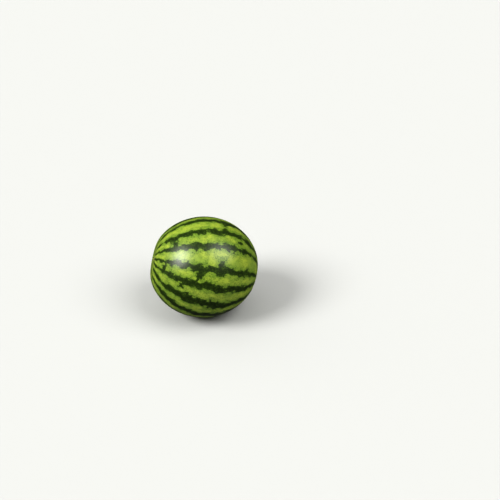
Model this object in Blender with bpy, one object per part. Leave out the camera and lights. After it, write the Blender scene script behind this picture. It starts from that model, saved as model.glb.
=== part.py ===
"""Whole round watermelon, lying on the small flat spot that its own weight gives it.

Standalone Blender script, in metres with +Z up. The fruit is turned about its own axis, the line
from the blossom end to the stem end, then leaned, lifted at the blossom end and flattened
underneath. It rests at z = 0 with its blossom end towards -X and its stem end towards +X.
"""

import math
from dataclasses import dataclass

import bmesh
import bpy
from mathutils import Matrix, Vector

# Driving sizes, in metres and radians
WIDTH = 0.220  # across the middle, square to the fruit's own axis
LENGTH_RATIO = 1.072  # end to end, against the width, before the ends are blunted
LEAN = 0.047  # how far the upper half grew over towards the stem end, per unit of height
BLOSSOM_LIFT = math.radians(14)  # how far the blossom end is raised off the level
FLAT_DEPTH = 0.0016  # how much the fruit is flattened where it rests

# Fineness of the surface
RINGS = 50  # steps from end to end
SEGMENTS = 60  # steps round the fruit
RING_CROWDING = 0.66  # 0 spaces the rings evenly, towards 1 crowds them at the two ends

RIND_COLOUR = (0.130, 0.235, 0.040, 1.0)  # linear, the mean of the light and dark green bands
RIND_ROUGHNESS = 0.38


@dataclass(frozen=True)
class FruitEnd:
    """Blunting, dip and scar at one end of the fruit.

    Attributes:
        blunting: how much shorter the broad end is than the plain oval, in metres.
        blunting_spread: angle from the end over which the blunting fades, in radians.
        dip_depth: depth of the small dip in the middle of the end, in metres.
        dip_spread: angle from the end over which the dip fades, in radians.
        scar_radius: radius of the round corky scar in the dip, in metres.
        scar_height: how far the scar stands out of the dip, in metres.
    """

    blunting: float
    blunting_spread: float
    dip_depth: float
    dip_spread: float
    scar_radius: float
    scar_height: float

    def offset(self, angle):
        """Height of the surface over the plain oval, at an angle from this end."""
        blunt = self.blunting * math.exp(-((angle / self.blunting_spread) ** 2))
        dip = self.dip_depth * math.exp(-((angle / self.dip_spread) ** 2))
        distance = angle * WIDTH / 2
        rise = min(max((1.15 * self.scar_radius - distance) / (0.3 * self.scar_radius), 0), 1)
        return self.scar_height * rise * rise * (3 - 2 * rise) - blunt - dip


BLOSSOM_END = FruitEnd(
    blunting=0.0072,
    blunting_spread=math.radians(16.2),
    dip_depth=0.0022,
    dip_spread=math.radians(9),
    scar_radius=0.0045,
    scar_height=0.0005,
)
STEM_END = FruitEnd(
    blunting=0.0020,
    blunting_spread=math.radians(16),
    dip_depth=0.0026,
    dip_spread=math.radians(9.5),
    scar_radius=0.0060,
    scar_height=0.0012,
)


def clear_scene():
    """Remove everything that the file opened with."""
    for obj in list(bpy.data.objects):
        bpy.data.objects.remove(obj, do_unlink=True)


def rind_material():
    """Waxy green rind in one mean colour."""
    material = bpy.data.materials.new("watermelon_rind")
    material.use_nodes = True
    shader = material.node_tree.nodes["Principled BSDF"]
    shader.inputs["Base Color"].default_value = RIND_COLOUR
    shader.inputs["Roughness"].default_value = RIND_ROUGHNESS
    shader.inputs["Metallic"].default_value = 0.0
    material.diffuse_color = RIND_COLOUR
    return material


def radius_at(angle):
    """Distance from the fruit's middle to its rind, at an angle from the blossom end."""
    half_width = WIDTH / 2
    half_length = half_width * LENGTH_RATIO
    across = half_width * math.cos(angle)
    along = half_length * math.sin(angle)
    oval = half_width * half_length / math.hypot(across, along)
    return oval + BLOSSOM_END.offset(angle) + STEM_END.offset(math.pi - angle)


def ring_angle(ring):
    """Angle of a ring from the blossom end, with the rings crowded towards both ends."""
    share = ring / RINGS
    return math.pi * share - RING_CROWDING / 2 * math.sin(2 * math.pi * share)


def profile():
    """Half outline of the fruit in the XZ plane, from the blossom end to the stem end."""
    points = []
    for ring in range(RINGS + 1):
        angle = ring_angle(ring)
        radius = radius_at(angle)
        points.append(Vector((-radius * math.cos(angle), 0, radius * math.sin(angle))))
    points[0].z = 0
    points[-1].z = 0
    return points


def spin_profile(mesh):
    """Turn the half outline once round the X axis into a closed skin."""
    corners = [mesh.verts.new(point) for point in profile()]
    edges = [mesh.edges.new(pair) for pair in zip(corners, corners[1:])]
    bmesh.ops.spin(
        mesh,
        geom=corners + edges,
        cent=(0, 0, 0),
        axis=(1, 0, 0),
        angle=2 * math.pi,
        steps=SEGMENTS,
        use_merge=True,
        use_duplicate=False,
    )
    bmesh.ops.remove_doubles(mesh, verts=mesh.verts, dist=1e-6)


def settle(mesh):
    """Lean the fruit, lift its blossom end, and flatten it where it rests."""
    lean = Matrix.Identity(4)
    lean[0][2] = LEAN
    lift = Matrix.Rotation(BLOSSOM_LIFT, 4, "Y")
    bmesh.ops.transform(mesh, matrix=lift @ lean, verts=mesh.verts)
    floor = min(corner.co.z for corner in mesh.verts) + FLAT_DEPTH
    cut = bmesh.ops.bisect_plane(
        mesh,
        geom=mesh.verts[:] + mesh.edges[:] + mesh.faces[:],
        dist=1e-7,
        plane_co=(0, 0, floor),
        plane_no=(0, 0, 1),
        clear_inner=True,
    )
    rim = [item for item in cut["geom_cut"] if isinstance(item, bmesh.types.BMEdge)]
    bmesh.ops.contextual_create(mesh, geom=rim)


def centre_on_origin(mesh):
    """Move the fruit so that the middle of its base is at the origin."""
    lows = [min(corner.co[axis] for corner in mesh.verts) for axis in range(3)]
    highs = [max(corner.co[axis] for corner in mesh.verts) for axis in range(3)]
    shift = Vector((-(lows[0] + highs[0]) / 2, -(lows[1] + highs[1]) / 2, -lows[2]))
    bmesh.ops.translate(mesh, vec=shift, verts=mesh.verts)


def build_watermelon():
    """Make the whole fruit as one object."""
    mesh = bmesh.new()
    spin_profile(mesh)
    settle(mesh)
    centre_on_origin(mesh)
    bmesh.ops.recalc_face_normals(mesh, faces=mesh.faces)
    data = bpy.data.meshes.new("watermelon")
    mesh.to_mesh(data)
    mesh.free()
    data.materials.append(rind_material())
    data.shade_smooth()
    data.set_sharp_from_angle(angle=math.radians(35))
    fruit = bpy.data.objects.new("watermelon", data)
    bpy.context.scene.collection.objects.link(fruit)
    return fruit


clear_scene()
build_watermelon()
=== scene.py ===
"""Looks of a whole round striped watermelon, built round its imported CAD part.

The CAD solid gives the fruit's place and size. One fine rind replaces it: a skin worked out as a
function of two angles, with shallow ribs, dents and corky end scars as real relief, and with the
stripes carried as smooth numbers on its points. The rind's finish turns those numbers into
crisp, scalloped, feathery stripes.
"""

import logging
import math
from collections.abc import Sequence
from dataclasses import dataclass
from enum import Enum
from typing import Any

import bpy
import numpy as np
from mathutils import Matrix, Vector


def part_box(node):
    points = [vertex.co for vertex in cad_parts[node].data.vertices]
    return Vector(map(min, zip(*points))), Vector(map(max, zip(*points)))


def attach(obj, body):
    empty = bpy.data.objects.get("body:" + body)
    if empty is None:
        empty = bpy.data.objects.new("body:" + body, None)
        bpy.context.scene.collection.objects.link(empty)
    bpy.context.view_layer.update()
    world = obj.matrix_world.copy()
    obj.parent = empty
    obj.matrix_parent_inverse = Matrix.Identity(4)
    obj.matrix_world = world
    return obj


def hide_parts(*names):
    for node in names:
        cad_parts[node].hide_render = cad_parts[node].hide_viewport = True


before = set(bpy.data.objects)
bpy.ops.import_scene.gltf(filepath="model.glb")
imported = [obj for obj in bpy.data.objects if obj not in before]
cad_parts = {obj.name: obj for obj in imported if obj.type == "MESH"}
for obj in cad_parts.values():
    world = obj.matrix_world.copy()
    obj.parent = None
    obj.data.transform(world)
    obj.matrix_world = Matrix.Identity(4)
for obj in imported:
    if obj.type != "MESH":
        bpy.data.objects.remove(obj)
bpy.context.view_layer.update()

NODE = "watermelon"
PIECE = "watermelon_rind"
BODY = "root"
MM = 0.001
STRIPE_SEED = 20
DENT_SEED = 21

Array = np.ndarray
Pair = tuple[float, float]
Tree = bpy.types.NodeTree
Settings = dict[str | int, Any]
Source = bpy.types.Node | bpy.types.NodeSocket
Paint = Source | str
Links = dict[str | int, Paint]

log = logging.getLogger("watermelon")


class End(Enum):
    """The two ends of the fruit."""

    BLOSSOM = "blossom"
    STEM = "stem"


def linear(colour: str) -> tuple[float, float, float, float]:
    """Turn an sRGB hex colour into linear red, green, blue and full alpha, by the sRGB curve."""
    shares = [int(colour[place : place + 2], 16) / 255 for place in (1, 3, 5)]
    return *(s / 12.92 if s <= 0.04045 else ((s + 0.055) / 1.055) ** 2.4 for s in shares), 1.0


def smoothstep(low: float, high: float, value: Array) -> Array:
    """Rise smoothly from 0 at low to 1 at high, or the reverse: 3t squared minus 2t cubed."""
    t = np.clip((value - low) / (high - low), 0.0, 1.0)
    return t * t * (3.0 - 2.0 * t)


def bell(distance: Array, spread: float) -> Array:
    """Bell curve that is 1 at no distance: e to the minus square of distance over spread."""
    return np.exp(-((distance / spread) ** 2))


@dataclass(frozen=True)
class FruitEnd:
    """Blunting, dip and round corky scar at one end of the fruit.

    Attributes:
        end: which end this is.
        blunting: how much shorter the broad end is than the plain oval, in metres.
        blunting_spread: angle over which the blunting fades, in radians.
        dip: depth of the small dip, in metres.
        dip_spread: angle over which the dip fades, in radians.
        scar_mm: radius of the scar.
        scar_height_mm: how far its plateau stands out of the dip.
        rim_mm: extra height of the ridge round its edge.
        pit_mm: depth of its middle below the plateau.
        pit_radius_mm: radius of that middle.
        wrinkles: number of radial wrinkles round the scar.
        phase: turns all waves round the scar, in radians.
        raggedness: heights of three and seven waves in the scar's outline, as shares.
        edge: where the plateau's edge starts and ends, in scar radii, as are the next places.
        ridge: place and spread of the ridge round the edge.
        pit_edge: where the pit's side starts and ends, in pit radii.
        groove: place and spread of the groove just outside the scar.
        groove_mm: its depth.
        wrinkle: place and spread of the wrinkles.
        wrinkle_mm: their height.
        wrinkle_crowding: how unevenly they stand round the scar, in radians.
        wrinkle_curl: how far their waves lag in one scar radius, in radians.
        pucker_start: where the puckers of the rind outside the scar set in.
        pucker_end: where those have faded and where they start to fade.
        pucker_mm: their height.
        pucker_crowding: how unevenly they stand, in radians.
        fewer_puckers: how many fewer there are than wrinkles.
    """

    end: End
    blunting: float
    blunting_spread: float
    dip: float
    dip_spread: float
    scar_mm: float
    scar_height_mm: float
    rim_mm: float
    pit_mm: float
    pit_radius_mm: float
    wrinkles: int
    phase: float
    raggedness: Pair = (0.07, 0.05)
    edge: Pair = (1.12, 0.88)
    ridge: Pair = (0.84, 0.13)
    pit_edge: Pair = (1.25, 0.35)
    groove: Pair = (1.22, 0.14)
    groove_mm: float = 0.35
    wrinkle: Pair = (0.72, 0.3)
    wrinkle_mm: float = 0.13
    wrinkle_crowding: float = 1.3
    wrinkle_curl: float = 2.2
    pucker_start: Pair = (0.9, 1.5)
    pucker_end: Pair = (5.5, 1.6)
    pucker_mm: float = 0.16
    pucker_crowding: float = 1.7
    fewer_puckers: int = 3

    def away(self, angle: Array) -> Array:
        """Turn an angle from the blossom end into the angle from this end, in radians."""
        return angle if self.end is End.BLOSSOM else np.pi - angle

    def offset(self, angle: Array) -> Array:
        """Height over the plain oval, in metres: minus two bell curves of the angle from this end."""
        blunt = self.blunting * bell(self.away(angle), self.blunting_spread)
        return -blunt - self.dip * bell(self.away(angle), self.dip_spread)

    def relief(self, angle: Array, turn: Array, radius_mm: float) -> Array:
        """Shape the corky scar and the puckered rind round it.

        A plateau with a smooth, wavy edge, plus a bell-shaped ridge just inside that edge, minus
        a pit in the middle, minus a groove just outside. Radial wrinkles are sines of the turn,
        strongest near the edge, and the puckers outside fade over a few scar radii.

        Args:
            angle: from the blossom end, in radians.
            turn: round the fruit, in radians.
            radius_mm: the fruit's radius.

        Returns:
            The height over the smooth fruit, in millimetres.
        """
        distance = self.away(angle) * radius_mm
        slow, quick = self.raggedness
        ragged = 1 + slow * np.sin(3 * turn + self.phase) + quick * np.sin(7 * turn + 2 * self.phase)
        share = distance / (self.scar_mm * ragged)
        plateau = self.scar_height_mm * smoothstep(*self.edge, share)
        rim = self.rim_mm * bell(share - self.ridge[0], self.ridge[1])
        pit = self.pit_mm * smoothstep(*self.pit_edge, distance / self.pit_radius_mm)
        groove = self.groove_mm * bell(share - self.groove[0], self.groove[1])
        uneven = self.wrinkle_crowding * np.sin(2 * turn + self.phase)
        wave = np.sin(self.wrinkles * turn + uneven + self.wrinkle_curl * share)
        wrinkles = self.wrinkle_mm * wave * bell(share - self.wrinkle[0], self.wrinkle[1])
        uneven = self.pucker_crowding * np.sin(turn + self.phase)
        folds = np.sin((self.wrinkles - self.fewer_puckers) * turn + uneven)
        shown = smoothstep(*self.pucker_start, share) * smoothstep(*self.pucker_end, share)
        return plateau + rim - pit - groove + wrinkles + self.pucker_mm * folds * shown


@dataclass(frozen=True)
class FruitShape:
    """Smooth outer shape of the fruit.

    Attributes:
        width: across the middle, square to the fruit's own axis, in metres.
        length_ratio: end to end against the width, before the ends are blunted.
        lean: how far the upper half grew over towards the stem end, per unit of height.
        lift: how far the blossom end is raised off the level, in radians.
        flat_depth: how much the fruit is flattened where it rests, in metres.
        flat_softness: how softly the flat spot meets the round rind, in metres.
        blossom: the blossom end.
        stem: the stem end.
    """

    width: float
    length_ratio: float = 1.072
    lean: float = 0.047
    lift: float = math.radians(14)
    flat_depth: float = 1.6 * MM
    flat_softness: float = 0.35 * MM
    blossom: FruitEnd = FruitEnd(
        end=End.BLOSSOM,
        blunting=7.2 * MM,
        blunting_spread=math.radians(16.2),
        dip=2.2 * MM,
        dip_spread=math.radians(9),
        scar_mm=4.5,
        scar_height_mm=0.45,
        rim_mm=0.25,
        pit_mm=0.55,
        pit_radius_mm=1.7,
        wrinkles=17,
        phase=0.7,
    )
    stem: FruitEnd = FruitEnd(
        end=End.STEM,
        blunting=2.0 * MM,
        blunting_spread=math.radians(16),
        dip=2.6 * MM,
        dip_spread=math.radians(9.5),
        scar_mm=6.0,
        scar_height_mm=1.1,
        rim_mm=0.45,
        pit_mm=1.3,
        pit_radius_mm=2.6,
        wrinkles=13,
        phase=2.9,
    )

    @property
    def radius_mm(self) -> float:
        """Half the width, in millimetres."""
        return self.width / 2 / MM

    def radius(self, angle: Array) -> Array:
        """Distance from the fruit's middle to its skin.

        The plain oval is an ellipse in polar form, half width times half length over the root of
        the squares of half width times cosine and half length times sine; each end then lowers it.

        Args:
            angle: from the blossom end, in radians.

        Returns:
            The radius, in metres.
        """
        half_width = self.width / 2
        half_length = half_width * self.length_ratio
        across = half_width * np.cos(angle)
        along = half_length * np.sin(angle)
        oval = half_width * half_length / np.hypot(across, along)
        return oval + self.blossom.offset(angle) + self.stem.offset(angle)

    def points(self, angle: Array, turn: Array, relief: Array) -> Array:
        """Place the skin's points as the fruit lies.

        In the fruit's own frame a point is the radius plus the relief, times minus the cosine of
        the angle along X, and times its sine in the direction of the turn, which is 0 at the top
        and grows towards -Y. The fruit is sheared along X by the lean, turned about Y by the lift,
        and softly flattened: a height z over the floor becomes half of z plus the root of z
        squared and the softness squared, nearly z above and nearly 0 below.

        Args:
            angle: from the blossom end, in radians.
            turn: round the fruit, in radians.
            relief: extra height over the smooth fruit, in metres.

        Returns:
            The points, in metres, with a last axis of three.
        """
        radius = self.radius(angle) + relief
        along = -radius * np.cos(angle)
        up = radius * np.sin(angle) * np.cos(turn)
        side = -radius * np.sin(angle) * np.sin(turn)
        along = along + self.lean * up
        x = along * math.cos(self.lift) + up * math.sin(self.lift)
        z = up * math.cos(self.lift) - along * math.sin(self.lift)
        height = z - (z.min() + self.flat_depth)
        height = (height + np.sqrt(height**2 + self.flat_softness**2)) / 2
        return np.stack([x, side, height - height.min()], axis=-1)


@dataclass(frozen=True)
class Stripe:
    """One dark stripe, running from the blossom end to the stem end.

    Attributes:
        start: degrees round the fruit from its top, near the blossom end.
        finish: the same near the stem end.
        width: degrees across, in the middle of the fruit.
    """

    start: float
    finish: float
    width: float


@dataclass(frozen=True)
class Bridge:
    """A dark link or spur across the light band between a stripe and the next one round.

    Attributes:
        stripe: number of the stripe on the band's upper side.
        angle: degrees from the blossom end.
        width: breadth, in millimetres.
        slant: degrees that it moves towards the stem end while it crosses.
        span: the share of the band that it crosses, from the upper stripe at 0.
    """

    stripe: int
    angle: float
    width: float
    slant: float = 0.0
    span: Pair = (0.0, 1.0)


FRONT_STRIPES = (
    Stripe(-23, -32, 7),
    Stripe(-6, -15, 7),
    Stripe(18, 4, 6),
    Stripe(38, 23, 7),
    Stripe(57.5, 56, 7),
    Stripe(73.5, 79, 7.5),
    Stripe(92, 105, 8.5),
    Stripe(114, 126, 9.5),
)
FRONT_BRIDGES = (
    Bridge(1, 99, 5),
    Bridge(2, 45, 10, slant=1),
    Bridge(2, 120, 5),
    Bridge(3, 99, 6, span=(0.65, 1.0)),
    Bridge(4, 38, 8),
    Bridge(4, 78, 8, slant=-6),
    Bridge(5, 62, 6, slant=3, span=(0.0, 0.4)),
)


@dataclass(frozen=True)
class StripePattern:
    """All dark stripes round the fruit, as one smooth signed distance.

    Attributes:
        front: stripes on the side that faces the camera, in order round the fruit.
        bridges: links and spurs between those.
        back_count: how many more share the rest of the way round.
        jitter: how far those wander from even spacing, in degrees.
        back_width: their mean width, in degrees.
        width_spread: how far each differs from it, as a share.
        back_bridges: how many are spread over the back.
        whole_share: share of those that cross their whole band.
        spur_reach: least and most of its band that a spur crosses, as shares.
        bridge_angles: where they may lie, in degrees from the blossom end.
        bridge_widths: their least and most breadth, in millimetres.
        bridge_slant: the most that they slant either way, in degrees.
        shift: degrees from the blossom end between which a stripe moves round to its finish.
        shift_ease: share of that move that is eased; the rest is even, all the way.
        slimming: how much narrower, as a share, the stripes are near both ends.
        slim_zone: degrees from an end at which that starts and is complete.
        wander: how far every stripe sways from its own line, in degrees.
        swell: how much a stripe's half width varies along it, as a share.
        sway_waves: pitch and height of the sines that make up a sway.
        sway_spread: how far each pitch differs from that, as a share.
        overrun_mm: how far a bridge runs on past its span, into the stripe.
        softness_mm: how softly stripes and bridges run together.
        furthest_mm: where it is cut off, so that its exponential stays small.
    """

    front: tuple[Stripe, ...] = FRONT_STRIPES
    bridges: tuple[Bridge, ...] = FRONT_BRIDGES
    back_count: int = 9
    jitter: float = 2.0
    back_width: float = 7.0
    width_spread: float = 0.2
    back_bridges: int = 18
    whole_share: float = 0.55
    spur_reach: Pair = (0.3, 0.6)
    bridge_angles: Pair = (30, 150)
    bridge_widths: Pair = (3.5, 7.5)
    bridge_slant: float = 6
    shift: Pair = (25, 155)
    shift_ease: float = 0.6
    slimming: float = 0.25
    slim_zone: Pair = (58, 22)
    wander: float = 0.9
    swell: float = 0.3
    sway_waves: tuple[Pair, ...] = ((2.1, 0.55), (4.3, 0.4), (8.5, 0.3), (15.0, 0.2))
    sway_spread: float = 0.15
    overrun_mm: float = 1.5
    softness_mm: float = 1.2
    furthest_mm: float = 60

    def stripes(self, draw: np.random.Generator) -> list[Stripe]:
        """List the front stripes, then evenly spaced and jittered ones over the rest.

        Args:
            draw: the random numbers.

        Returns:
            All stripes, in order round the fruit.
        """
        first, last = self.front[0], self.front[-1]
        shares = np.arange(1, self.back_count + 1) / (self.back_count + 1)
        starts = last.start + shares * (first.start + 360 - last.start)
        finishes = last.finish + shares * (first.finish + 360 - last.finish)
        starts += draw.uniform(-self.jitter, self.jitter, self.back_count)
        finishes += draw.uniform(-self.jitter, self.jitter, self.back_count)
        spread = draw.uniform(1 - self.width_spread, 1 + self.width_spread, self.back_count)
        widths = self.back_width * spread
        back = [Stripe(*values) for values in zip(starts, finishes, widths, strict=True)]
        return [*self.front, *back]

    def all_bridges(self, draw: np.random.Generator) -> list[Bridge]:
        """List the front bridges, then ones drawn at random over the light bands of the back.

        Args:
            draw: the random numbers.

        Returns:
            All bridges.
        """
        first_back = len(self.front) - 1
        found = list(self.bridges)
        for number in range(self.back_bridges):
            whole = draw.random() < self.whole_share
            reach = draw.uniform(*self.spur_reach)
            from_upper = draw.random() < 0.5
            spur = (0.0, reach) if from_upper else (1 - reach, 1.0)
            bridge = Bridge(
                stripe=first_back + number % (self.back_count + 1),
                angle=draw.uniform(*self.bridge_angles),
                width=draw.uniform(*self.bridge_widths),
                slant=draw.uniform(-self.bridge_slant, self.bridge_slant),
                span=(0.0, 1.0) if whole else spur,
            )
            found.append(bridge)
        return found

    def sway(self, draw: np.random.Generator, angle: Array) -> Array:
        """Smooth random curve along the fruit: sines of rising pitch and falling height.

        Args:
            draw: the random numbers.
            angle: from the blossom end, in radians.

        Returns:
            The curve, mostly between -1 and 1.
        """
        total = np.zeros_like(angle)
        for pitch, height in self.sway_waves:
            phase = draw.uniform(0, 2 * np.pi)
            pitch = pitch * draw.uniform(1 - self.sway_spread, 1 + self.sway_spread)
            total += height * np.sin(pitch * angle + phase)
        return total

    def distance_mm(self, angle: Array, turn: Array, radius_mm: float) -> Array:
        """Signed distance to the nearest dark edge, in millimetres, positive inside the dark.

        Distances are taken on the rind unrolled into a cylinder, so stripes narrow towards both
        ends as real ones do, and a little more by the slimming. Across a stripe the distance is
        its half width minus the way to its middle line, the two edges swelling on their own.
        Along a bridge it is half its breadth minus the way to its line, cut off past its span.
        Stripes and bridges are joined by a soft maximum: the log of a sum of exponentials.

        Args:
            angle: from the blossom end, in radians.
            turn: round the fruit, in radians.
            radius_mm: radius of the cylinder.

        Returns:
            The distance at each point.
        """
        draw = np.random.default_rng(STRIPE_SEED)
        stripes = self.stripes(draw)
        degrees = np.degrees(turn)
        eased = smoothstep(*self.shift, np.degrees(angle)) * self.shift_ease
        along = eased + angle / np.pi * (1 - self.shift_ease)
        per_degree = radius_mm * math.radians(1)
        from_end = np.degrees(np.minimum(angle, np.pi - angle))
        fullness = 1 - self.slimming * smoothstep(*self.slim_zone, from_end)
        lines, parts = [], []
        for stripe in stripes:
            line = stripe.start + (stripe.finish - stripe.start) * along
            line = line + self.wander * self.sway(draw, angle)
            away = (degrees - line + 180) % 360 - 180
            upper = 1 + self.swell * self.sway(draw, angle)
            lower = 1 + self.swell * self.sway(draw, angle)
            half = stripe.width / 2 * fullness * np.where(away < 0, upper, lower)
            lines.append(line)
            parts.append((half - np.abs(away)) * per_degree)
        lines.append(lines[0] + 360)
        for bridge in self.all_bridges(draw):
            upper, lower = lines[bridge.stripe], lines[bridge.stripe + 1]
            band = (lower - upper) * per_degree
            share = ((degrees - upper) % 360) / (lower - upper)
            middle = math.radians(bridge.angle) + math.radians(bridge.slant) * (share - 0.5)
            part = bridge.width / 2 - np.abs(angle - middle) * radius_mm
            inside = np.minimum(share - bridge.span[0], bridge.span[1] - share) * band
            parts.append(np.minimum(part, inside + self.overrun_mm))
        capped = np.clip(parts, -self.furthest_mm, self.furthest_mm)
        return self.softness_mm * np.log(np.exp(capped / self.softness_mm).sum(axis=0))


def add_node(
    tree: Tree, kind: str, settings: Settings | None = None, links: Links | None = None
) -> bpy.types.Node:
    """Add one node to a material.

    Args:
        tree: the material's node tree.
        kind: Blender's name for the node, without "ShaderNode".
        settings: values by property name, or by the name or number of an input socket.
        links: what feeds an input socket, by its name or number: an output socket, a node for its
            first output, or a hex colour.

    Returns:
        The new node.
    """
    node = tree.nodes.new("ShaderNode" + kind)
    for name, value in (settings or {}).items():
        if isinstance(name, str) and hasattr(node, name):
            setattr(node, name, value)
        else:
            node.inputs[name].default_value = value
    for name, source in (links or {}).items():
        if isinstance(source, str):
            node.inputs[name].default_value = linear(source)
        else:
            output = source.outputs[0] if isinstance(source, bpy.types.Node) else source
            tree.links.new(output, node.inputs[name])
    return node


def lay_coats(tree: Tree, base: Paint, coats: Sequence[tuple[Source, Paint]]) -> Paint:
    """Lay coats of colour over a base, one after another.

    Args:
        tree: the material's node tree.
        base: the lowest colour.
        coats: for each coat, how much of it shows, from 0 to 1, and its colour.

    Returns:
        The colour that results.
    """
    for shown, coat in coats:
        base = add_node(tree, "Mix", {"data_type": "RGBA"}, {0: shown, 6: base, 7: coat}).outputs[2]
    return base


@dataclass(frozen=True)
class Fade:
    """Smooth change from one level to another.

    Attributes:
        start: where it starts.
        end: where it is complete; it may be below the start.
        least: the level before.
        most: the level after.
    """

    start: float
    end: float
    least: float = 0.0
    most: float = 1.0

    def settings(self) -> Settings:
        """Settings of a range node that makes this change."""
        names = ("From Min", "From Max", "To Min", "To Max")
        values = (self.start, self.end, self.least, self.most)
        return {"interpolation_type": "SMOOTHSTEP", **dict(zip(names, values, strict=True))}


@dataclass(frozen=True)
class Mottle:
    """One layer of irregular blotches.

    Attributes:
        size_mm: size of the largest.
        detail: how many times finer ones are added.
        fade: how much of the blotches shows, by the noise's level.
    """

    size_mm: float
    detail: float
    fade: Fade


@dataclass(frozen=True)
class RindFinish:
    """Striped watermelon rind: a thick green skin with a thin natural wax on it.

    The wax gives the broad, soft highlights. Under it the light bands are yellow green cells with
    greener veins between them, and the dark stripes grow into them along those veins, which gives
    scalloped, feathery edges. The end scars are dry cork, dull and fibrous. The underside, where
    the fruit lay out of the sun, has a creamy spot. Real veins, flecks and feathering are as fine
    as half a millimetre, and are drawn coarser so that they show.

    Attributes:
        yellow_green: ripe middle of the light bands.
        leaf_green: their cooler patches.
        edge_green: greener rind close to a stripe.
        vein_green: veins in the light bands.
        stripe_green: the dark stripes.
        stripe_moss: paler flecks in them, and dark ones in the light bands.
        stripe_core: deepest green, along the middle of a stripe.
        cork: dry end scars.
        cork_shade: their cracks and middles.
        cream: ground spot.
        stretch: scale along the fruit of all that shapes an edge; below 1 makes it longer.
        warp_mm: size and reach of the bends that make the lobes uneven.
        lobe_mm: size of an edge's round lobes, and how far the dark reaches between them.
        scallop_mm: the same of the smaller scallops on them.
        fringe_mm: size of the finest feathering, and how far it moves the edge in all.
        middle: distance inside a cell, in cell sizes, at which the edge stays put.
        calm: how uneven an edge is, by the distance from an end in millimetres.
        dark: dark green, by the distance inside a stripe in millimetres, as are the next three.
        near_edge: edge green.
        fleck_zone: how many of the flecks show.
        core: core green.
        tone: patches of leaf green.
        patch: where the veins show.
        moss: paler flecks in the stripes.
        fleck: dark flecks in the light bands.
        bend_mm: size and reach of the bends in the veins.
        vein_mm: size of the cells between the veins.
        vein: how much of a vein shows, by the distance from its middle in cell sizes.
        ground_mm: size of the ground spot's blotches, and how far they move its edge.
        ground: cream, by the distance from the middle of the underside in millimetres.
        fibre_mm: size of the cork's fibres, and how far they move a scar's edge.
        cork_edge_mm: past a scar's radius, where the cork starts and is whole.
        cork_pit: pit radii over which the dark middle fades.
        cork_shades: shade of that middle and of the rest.
        cork_roughness: that of the dry cork.
        grain_mm: size and height of the faint unevenness of the wax.
        grain: its levels between which the roughness changes.
        roughness: least and most roughness of the wax.
        bump: how strongly the unevenness bends the light.
        ior: refractive index of plant wax.
        specular: how much it mirrors, against clean wax at 0.5.
    """

    yellow_green: str = "#889833"
    leaf_green: str = "#6f852e"
    edge_green: str = "#577121"
    vein_green: str = "#3f5a16"
    stripe_green: str = "#1c2d03"
    stripe_moss: str = "#374d11"
    stripe_core: str = "#132002"
    cork: str = "#8c7c55"
    cork_shade: str = "#4f4129"
    cream: str = "#c9bd78"
    stretch: float = 0.72
    warp_mm: Pair = (7.0, 4.0)
    lobe_mm: Pair = (11.0, 13.0)
    scallop_mm: Pair = (4.4, 5.0)
    fringe_mm: Pair = (1.6, 5.4)
    middle: float = 0.45
    calm: Fade = Fade(4.0, 32.0, least=0.15)
    dark: Fade = Fade(-0.5, 0.5)
    near_edge: Fade = Fade(-11.0, -1.0, most=0.7)
    fleck_zone: Fade = Fade(-14.0, -2.0, least=0.12)
    core: Fade = Fade(1.0, 8.0, most=0.6)
    tone: Mottle = Mottle(26.0, 3.0, Fade(0.36, 0.64, most=0.9))
    patch: Mottle = Mottle(9.0, 4.0, Fade(0.36, 0.62))
    moss: Mottle = Mottle(3.2, 4.0, Fade(0.47, 0.63))
    fleck: Mottle = Mottle(2.5, 3.0, Fade(0.55, 0.65, most=0.92))
    bend_mm: Pair = (3.0, 5.0)
    vein_mm: float = 4.2
    vein: Fade = Fade(0.0, 0.26, least=0.58, most=0.0)
    ground_mm: Pair = (22.0, 60.0)
    ground: Fade = Fade(70.0, 44.0, most=0.86)
    fibre_mm: Pair = (0.9, 1.6)
    cork_edge_mm: Pair = (1.5, 0.5)
    cork_pit: Pair = (0.7, 1.3)
    cork_shades: Pair = (0.9, 0.15)
    cork_roughness: float = 0.85
    grain_mm: Pair = (1.1, 0.15)
    grain: Pair = (0.3, 0.7)
    roughness: Pair = (0.30, 0.40)
    bump: float = 0.10
    ior: float = 1.45
    specular: float = 0.48

    def build(self, shape: FruitShape) -> bpy.types.Material:
        """Make the material.

        Args:
            shape: the fruit, whose scars are cork.

        Returns:
            The finished material.
        """
        material = bpy.data.materials.new("waxy_striped_melon_rind")
        material.use_nodes = True
        tree = material.node_tree
        tree.nodes.clear()
        place = add_node(tree, "Attribute", {"attribute_name": "unrolled"}).outputs["Vector"]
        parts = add_node(tree, "Attribute", {"attribute_name": "from_parts"}).outputs["Vector"]
        apart = add_node(tree, "SeparateXYZ", links={0: parts}).outputs
        colour = self.band_colours(tree, place, self.edge_distance(tree, place, apart))
        colour, corky = self.ends_and_underside(tree, colour, apart, shape)
        size, height = self.grain_mm
        settings = {"Scale": 1 / size, "Detail": 3.0, "Roughness": 0.55}
        grain = add_node(tree, "TexNoise", settings, {"Vector": place})
        low, high = self.grain
        least, most = self.roughness
        settings = {"From Min": low, "From Max": high, "To Min": least, "To Max": most}
        waxy = add_node(tree, "MapRange", settings, {"Value": grain})
        rough = add_node(tree, "Mix", {"data_type": "FLOAT", 3: self.cork_roughness}, {0: corky, 2: waxy})
        bump = add_node(tree, "Bump", {"Strength": self.bump, "Distance": height * MM}, {"Height": grain})
        settings = {"IOR": self.ior, "Specular IOR Level": self.specular, "Metallic": 0.0}
        links = {"Base Color": colour, "Roughness": rough, "Normal": bump}
        shader = add_node(tree, "BsdfPrincipled", settings, links)
        add_node(tree, "OutputMaterial", links={"Surface": shader})
        return material

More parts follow.
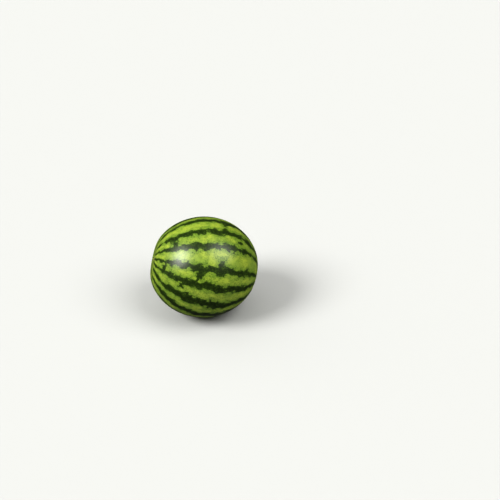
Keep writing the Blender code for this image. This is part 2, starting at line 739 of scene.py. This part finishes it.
    def edge_distance(self, tree: Tree, place: Source, apart: Sequence[Source]) -> Source:
        """Scallop and feather the smooth stripes.

        The dark reaches out along the borders of round cells of two sizes, so the light side of
        an edge is lobed and the dark side is cusped; fine noise feathers it. All three are calm
        close to the two ends.

        Args:
            tree: the material's node tree.
            place: the unrolled place, in millimetres.
            apart: the three distances that the rind's `from_parts` gives.

        Returns:
            The signed distance to the drawn edge, in millimetres, positive in the dark.
        """
        total = add_node(tree, "Attribute", {"attribute_name": "stripe"}).outputs["Fac"]
        near = add_node(tree, "Math", {"operation": "MINIMUM"}, {0: apart[0], 1: apart[1]})
        calm = add_node(tree, "MapRange", self.calm.settings(), {"Value": near})
        stretched = add_node(tree, "Mapping", {"Scale": (self.stretch, 1.0, 1.0)}, {"Vector": place})
        size, reach = self.warp_mm
        warp = add_node(tree, "TexNoise", {"Scale": 1 / size, "Detail": 2.0}, {"Vector": stretched})
        settings = {"operation": "MULTIPLY_ADD", 1: (reach,) * 3}
        warped = add_node(tree, "VectorMath", settings, {0: warp.outputs["Color"], 2: stretched})
        layers = []
        for size, reach in (self.lobe_mm, self.scallop_mm):
            cells = add_node(tree, "TexVoronoi", {"Scale": 1 / size}, {"Vector": warped})
            layers.append((cells, reach, self.middle))
        size, reach = self.fringe_mm
        settings = {"Scale": 1 / size, "Detail": 3.0, "Roughness": 0.6}
        fringe = add_node(tree, "TexNoise", settings, {"Vector": stretched})
        layers.append((fringe, reach, 0.5))
        for level, reach, still in layers:
            settings = {"operation": "MULTIPLY_ADD", 1: reach, 2: -still * reach}
            moved = add_node(tree, "Math", settings, {0: level})
            total = add_node(tree, "Math", {"operation": "MULTIPLY_ADD"}, {0: moved, 1: calm, 2: total})
        return total

    def band_colours(self, tree: Tree, place: Source, distance: Source) -> Paint:
        """Colour the light bands and the dark stripes.

        Args:
            tree: the material's node tree.
            place: the unrolled place, in millimetres.
            distance: that to the drawn edge, in millimetres, positive in the dark.

        Returns:
            The colour of the striped rind.
        """
        dark, near_edge, fleck_zone, core = (
            add_node(tree, "MapRange", fade.settings(), {"Value": distance})
            for fade in (self.dark, self.near_edge, self.fleck_zone, self.core)
        )
        shares = []
        for mottle in (self.tone, self.patch, self.moss, self.fleck):
            settings = {"Scale": 1 / mottle.size_mm, "Detail": mottle.detail}
            noise = add_node(tree, "TexNoise", settings, {"Vector": place})
            shares.append(add_node(tree, "MapRange", mottle.fade.settings(), {"Value": noise}))
        tone, patch, moss, fleck = shares
        size, reach = self.bend_mm
        bend = add_node(tree, "TexNoise", {"Scale": 1 / size, "Detail": 4.0}, {"Vector": place})
        settings = {"operation": "MULTIPLY_ADD", 1: (reach,) * 3}
        bent = add_node(tree, "VectorMath", settings, {0: bend.outputs["Color"], 2: place})
        settings = {"feature": "DISTANCE_TO_EDGE", "Scale": 1 / self.vein_mm}
        cells = add_node(tree, "TexVoronoi", settings, {"Vector": bent})
        vein = add_node(tree, "MapRange", self.vein.settings(), {"Value": cells})
        veins, flecks = (
            add_node(tree, "Math", {"operation": "MULTIPLY"}, {0: shown, 1: where})
            for shown, where in ((vein, patch), (fleck, fleck_zone))
        )
        light_coats = [(tone, self.leaf_green), (near_edge, self.edge_green)]
        light_coats += [(veins, self.vein_green), (flecks, self.stripe_moss)]
        light = lay_coats(tree, self.yellow_green, light_coats)
        stripe_coats = ((moss, self.stripe_moss), (core, self.stripe_core))
        stripe = lay_coats(tree, self.stripe_green, stripe_coats)
        return lay_coats(tree, light, [(dark, stripe)])

    def ends_and_underside(
        self, tree: Tree, colour: Paint, apart: Sequence[Source], shape: FruitShape
    ) -> tuple[Paint, Source]:
        """Lay the creamy ground spot and the two corky scars over the stripes.

        Args:
            tree: the material's node tree.
            colour: the colour of the striped rind.
            apart: the three distances that the rind's `from_parts` gives.
            shape: the fruit.

        Returns:
            The final colour, and how corky the surface is, from 0 to 1.
        """
        body = add_node(tree, "TexCoord").outputs["Object"]
        size, reach = self.ground_mm
        settings = {"Scale": 1 / (size * MM), "Detail": 6.0, "Roughness": 0.68}
        blotch = add_node(tree, "TexNoise", settings, {"Vector": body})
        settings = {"operation": "MULTIPLY_ADD", 1: reach}
        ragged = add_node(tree, "Math", settings, {0: blotch, 2: apart[2]})
        ground = add_node(tree, "MapRange", self.ground.settings(), {"Value": ragged})
        coats = [(ground, self.cream)]
        size, reach = self.fibre_mm
        settings = {"Scale": 1 / (size * MM), "Detail": 4.0, "Roughness": 0.65}
        fibres = add_node(tree, "TexNoise", settings, {"Vector": body})
        for end, distance in ((shape.blossom, apart[0]), (shape.stem, apart[1])):
            settings = {"operation": "MULTIPLY_ADD", 1: reach}
            edge = add_node(tree, "Math", settings, {0: fibres, 2: distance})
            outline = Fade(*(end.scar_mm + past for past in self.cork_edge_mm))
            corky = add_node(tree, "MapRange", outline.settings(), {"Value": edge})
            pit = Fade(*(end.pit_radius_mm * radii for radii in self.cork_pit), *self.cork_shades)
            middle = add_node(tree, "MapRange", pit.settings(), {"Value": distance})
            shade = add_node(tree, "Math", {"operation": "MAXIMUM"}, {0: middle, 1: fibres})
            coats.append((corky, lay_coats(tree, self.cork, [(shade, self.cork_shade)])))
        scars = {number: corky for number, (corky, _) in enumerate(coats[1:])}
        both = add_node(tree, "Math", {"operation": "MAXIMUM"}, scars)
        return lay_coats(tree, colour, coats), both


@dataclass(frozen=True)
class PaperFinish:
    """Uncoated white paper: felted fibres with no glaze, so it looks evenly pale from any side.

    Attributes:
        colour: a mid grey, which the bright lights show nearly white.
        roughness: that of a fully matte sheet.
    """

    colour: str = "#a7a8a7"
    roughness: float = 0.9

    def build(self) -> bpy.types.Material:
        """Make the material.

        Returns:
            The finished material.
        """
        material = bpy.data.materials.new("matte_pale_paper")
        material.use_nodes = True
        inputs = material.node_tree.nodes["Principled BSDF"].inputs
        inputs["Base Color"].default_value = linear(self.colour)
        inputs["Roughness"].default_value = self.roughness
        inputs["Specular IOR Level"].default_value = 0.0
        return material


@dataclass(frozen=True)
class Rind:
    """The whole outer skin of the fruit.

    Attributes:
        shape: the smooth fruit.
        pattern: its stripes.
        finish: its material.
        rings: steps from end to end.
        segments: steps round the fruit.
        crowding: 0 spaces the rings evenly, towards 1 crowds them at the ends.
        rib_mm: height of the faint ribs along the fruit.
        ribs: number of them.
        rib_drift: how far they stray, by sines of two turns and three angles, in radians.
        rib_phase: phase of the first of those.
        dent_mm: depth of the shallow dents.
        dents: number of them.
        dent_spread: least and most radius of a dent, in radians.
        sink_mm: how much lower the dark stripes lie.
        sink: where inside a stripe that starts and is complete, in millimetres.
        far: how many radii the upper half is put away from the ground spot.
    """

    shape: FruitShape
    pattern: StripePattern = StripePattern()
    finish: RindFinish = RindFinish()
    rings: int = 251
    segments: int = 396
    crowding: float = 0.8
    rib_mm: float = 0.22
    ribs: int = 10
    rib_drift: Pair = (0.10, 0.05)
    rib_phase: float = 1.0
    dent_mm: float = 0.35
    dents: int = 40
    dent_spread: Pair = (0.12, 0.32)
    sink_mm: float = 0.10
    sink: Pair = (-3, 5)
    far: float = 4

    def grid(self) -> tuple[Array, Array]:
        """Angles of every point.

        The angle from the blossom end is pi times a share, minus a sine that crowds the rings at
        both ends; the turn is even. The two end points come first and last.

        Returns:
            The angle and the turn of each point, in radians.
        """
        share = np.arange(1, self.rings) / self.rings
        angle = np.pi * share - self.crowding / 2 * np.sin(2 * np.pi * share)
        turn = np.arange(self.segments) * 2 * np.pi / self.segments
        angle, turn = (a.ravel() for a in np.meshgrid(angle, turn, indexing="ij"))
        return np.r_[0, angle, np.pi], np.r_[0, turn, 0]

    def faces(self) -> list[list[int]]:
        """Join the points: quads between neighbouring rings, a fan of triangles at each end.

        Returns:
            The point numbers of each face.
        """
        ring = np.arange(self.segments)
        after = (ring + 1) % self.segments
        rows = 1 + self.segments * np.arange(self.rings - 2)[:, None]
        quads = [rows + ring, rows + after, rows + self.segments + after, rows + self.segments + ring]
        last = 1 + self.segments * (self.rings - 2)
        tip = last + self.segments
        start = np.stack([np.zeros_like(ring), 1 + after, 1 + ring], axis=-1)
        end = np.stack([np.full_like(ring, tip), last + ring, last + after], axis=-1)
        quads = np.stack([part.ravel() for part in quads], axis=-1)
        return start.tolist() + quads.tolist() + end.tolist()

    def relief(self, angle: Array, turn: Array, stripe: Array) -> Array:
        """Real relief of the rind over the smooth fruit.

        Faint ribs are cosines of the turn that fade at the ends; dents are bell curves round
        random directions; the dark stripes lie a little lower; the end scars add their own.

        Args:
            angle: from the blossom end, in radians.
            turn: round the fruit, in radians.
            stripe: signed distance inside the dark stripes, in millimetres.

        Returns:
            The height at each point, in metres.
        """
        draw = np.random.default_rng(DENT_SEED)
        round_drift, long_drift = self.rib_drift
        bent = turn + round_drift * np.sin(2 * turn + self.rib_phase) + long_drift * np.sin(3 * angle)
        height = self.rib_mm * np.cos(self.ribs * bent) * np.sin(angle) ** 2
        way = np.stack(
            [-np.cos(angle), -np.sin(angle) * np.sin(turn), np.sin(angle) * np.cos(turn)], axis=-1
        )
        centres = draw.normal(size=(self.dents, 3))
        centres /= np.linalg.norm(centres, axis=1, keepdims=True)
        spreads = draw.uniform(*self.dent_spread, self.dents)
        depths = draw.uniform(-self.dent_mm, self.dent_mm, self.dents)
        for centre, spread, depth in zip(centres, spreads, depths, strict=True):
            height += depth * bell(np.arccos(np.clip(way @ centre, -1, 1)), spread)
        height -= self.sink_mm * smoothstep(*self.sink, stripe) * np.sin(angle)
        for end in (self.shape.blossom, self.shape.stem):
            height += end.relief(angle, turn, self.shape.radius_mm)
        return height * MM

    def unrolled(self, angle: Array, turn: Array) -> Array:
        """Place on a spindle as long as the rind from end to end, in millimetres.

        X is the radius times the angle. Y and Z go round a circle whose radius falls with the
        root of the sine of the angle, so a pattern narrows towards the ends and has no seam.

        Args:
            angle: from the blossom end, in radians.
            turn: round the fruit, in radians.

        Returns:
            One place for each point.
        """
        reach = self.shape.radius_mm
        round_mm = reach * np.sqrt(np.sin(angle).clip(0))
        return np.stack([reach * angle, round_mm * np.cos(turn), round_mm * np.sin(turn)], axis=-1)

    def from_parts(self, angle: Array, points: Array, middle: float) -> Array:
        """Distances that say where the scars and the ground spot are, in millimetres.

        The first two are the radius times the angle from each end. The third is the level
        distance from the middle of the underside, plus a long way over the upper half.

        Args:
            angle: from the blossom end, in radians.
            points: the skin's points, in metres.
            middle: height of the fruit's middle, in metres.

        Returns:
            Three distances for each point.
        """
        reach = self.shape.radius_mm
        upper = points[:, 2] > middle
        under = np.linalg.norm(points[:, :2], axis=1) / MM + upper * self.far * reach
        return np.stack([angle * reach, (np.pi - angle) * reach, under], axis=-1)

    def build(self, box: tuple[Vector, Vector]) -> bpy.types.Object:
        """Make the rind and dress it.

        Args:
            box: lowest and highest corner of the CAD solid.

        Returns:
            The finished object, at the origin.
        """
        angle, turn = self.grid()
        stripe = self.pattern.distance_mm(angle, turn, self.shape.radius_mm)
        points = self.shape.points(angle, turn, self.relief(angle, turn, stripe))
        points[:, 0] += (box[0].x + box[1].x) / 2 - (points[:, 0].min() + points[:, 0].max()) / 2
        points[:, 2] += box[0].z
        mesh = bpy.data.meshes.new(PIECE)
        mesh.from_pydata(points.tolist(), [], self.faces())
        mesh.shade_smooth()
        for name, values in (
            ("stripe", stripe),
            ("unrolled", self.unrolled(angle, turn)),
            ("from_parts", self.from_parts(angle, points, box[1].z / 2)),
        ):
            kind, key = ("FLOAT", "value") if values.ndim == 1 else ("FLOAT_VECTOR", "vector")
            attribute = mesh.attributes.new(name, kind, "POINT")
            attribute.data.foreach_set(key, values.astype(np.float32).ravel())
        mesh.materials.append(self.finish.build(self.shape))
        rind = bpy.data.objects.new(PIECE, mesh)
        bpy.context.scene.collection.objects.link(rind)
        return rind


@dataclass(frozen=True)
class SoftLight:
    """One broad, far light.

    Attributes:
        name: the light's name.
        way: direction from the fruit to the light.
        strength: light that it throws on a surface facing it, in watts per square metre.
        spread: how wide it looks from the fruit, in radians.
        shines: whether it is mirrored in the wax, or only lights the colours.
    """

    name: str
    way: tuple[float, float, float]
    strength: float
    spread: float
    shines: bool = True


@dataclass(frozen=True)
class Studio:
    """Plain pale floor, soft lights and the camera.

    Attributes:
        floor_finish: the floor's material.
        floor_radius: so far that its edge is lost against the pale surround.
        floor_sides: number of sides that make its edge round.
        elevation: how far the camera looks down, in radians.
        distance: from the camera to the fruit's middle, in metres.
        lens: focal length, in millimetres.
        sensor: its sensor's width, in millimetres.
        aside: how far right of the fruit the camera aims, in metres.
        above: how far above the fruit's middle it aims, in metres.
        daylight: colour of the lights, a faintly warm white.
        lights: the soft lights.
        surround_colour: colour of the even light from all round and of the backdrop.
        fill: strength of that light.
        backdrop: brightness of the surround behind the floor, matched to the floor's.
    """

    floor_finish: PaperFinish = PaperFinish()
    floor_radius: float = 14.0
    floor_sides: int = 128
    elevation: float = math.radians(35)
    distance: float = 1.75
    lens: float = 57.8
    sensor: float = 36
    aside: float = 0.1016
    above: float = 0.0323
    daylight: str = "#fffefb"
    lights: tuple[SoftLight, ...] = (
        SoftLight("left_window", (-0.68, -0.27, 0.68), 3.8, math.radians(27)),
        SoftLight("right_window", (0.55, -0.29, 0.79), 2.6, math.radians(42)),
        SoftLight("top_window", (-0.45, 0.05, 0.90), 1.8, math.radians(100), shines=False),
    )
    surround_colour: str = "#fdfdf9"
    fill: float = 0.05
    backdrop: float = 0.80

    def build(self, box: tuple[Vector, Vector]) -> None:
        """Set the whole studio round the fruit.

        Args:
            box: lowest and highest corner of the CAD solid.
        """
        self.surround()
        self.floor()
        self.camera((box[0] + box[1]) / 2)
        for light in self.lights:
            self.hang(light)

    def surround(self) -> None:
        """Faint even fill, which the camera sees as a pale backdrop."""
        world = bpy.data.worlds.new("pale_surround")
        world.use_nodes = True
        tree = world.node_tree
        seen = add_node(tree, "LightPath").outputs["Is Camera Ray"]
        settings = {"To Min": self.fill, "To Max": self.backdrop}
        strength = add_node(tree, "MapRange", settings, {"Value": seen})
        inputs = tree.nodes["Background"].inputs
        inputs["Color"].default_value = linear(self.surround_colour)
        tree.links.new(strength.outputs["Result"], inputs["Strength"])
        bpy.context.scene.world = world

    def floor(self) -> None:
        """Flat disc: a fan of triangles round a circle."""
        turn = np.linspace(0, 2 * np.pi, self.floor_sides, endpoint=False)
        rim = np.stack([np.cos(turn), np.sin(turn), np.zeros_like(turn)], axis=-1)
        points = np.vstack([[0, 0, 0], self.floor_radius * rim])
        ring = np.arange(1, len(turn) + 1)
        faces = np.stack([np.zeros_like(ring), ring, np.roll(ring, -1)], axis=-1)
        mesh = bpy.data.meshes.new("floor")
        mesh.from_pydata(points.tolist(), [], faces.tolist())
        mesh.materials.append(self.floor_finish.build())
        floor = bpy.data.objects.new("floor", mesh)
        bpy.context.scene.collection.objects.link(floor)
        # Mirrored in the wax, so pale a floor would veil the dark stripes with grey
        floor.visible_glossy = False

    def camera(self, middle: Vector) -> None:
        """Put the camera in front of the fruit, looking down at it.

        Args:
            middle: the middle of the fruit.
        """
        data = bpy.data.cameras.new("camera")
        data.lens = self.lens
        data.sensor_width = self.sensor
        camera = bpy.data.objects.new("camera", data)
        back = Vector((0, -math.cos(self.elevation), math.sin(self.elevation)))
        rise = Vector((0, math.sin(self.elevation), math.cos(self.elevation)))
        camera.location = middle + self.distance * back
        aim = middle + Vector((self.aside, 0, 0)) + self.above * rise
        camera.rotation_euler = (aim - camera.location).to_track_quat("-Z", "Y").to_euler()
        bpy.context.scene.collection.objects.link(camera)
        bpy.context.scene.camera = camera

    def hang(self, light: SoftLight) -> None:
        """Hang one broad light, as a sun so wide that its shadows are soft.

        Args:
            light: the light.
        """
        data = bpy.data.lights.new(light.name, "SUN")
        data.energy = light.strength
        data.angle = light.spread
        data.color = linear(self.daylight)[:3]
        lamp = bpy.data.objects.new(light.name, data)
        way = Vector(light.way).normalized()
        lamp.location = way
        lamp.visible_glossy = light.shines
        lamp.rotation_euler = (-way).to_track_quat("-Z", "Y").to_euler()
        bpy.context.scene.collection.objects.link(lamp)


def main() -> None:
    """Build the fruit and the studio, and report each piece."""
    logging.basicConfig(level=logging.INFO, format="%(name)s: %(message)s")
    bpy.context.scene.view_settings.view_transform = "Standard"
    bpy.context.scene.view_settings.look = "Medium High Contrast"
    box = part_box(NODE)
    shape = FruitShape(width=box[1].y - box[0].y)
    rind = Rind(shape).build(box)
    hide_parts(NODE)
    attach(rind, BODY)
    log.info("%s: %d faces", rind.name, len(rind.data.polygons))
    Studio().build(box)
    log.info("studio: floor, camera and %d lights", len(bpy.data.lights))


if __name__ == "__main__":
    main()
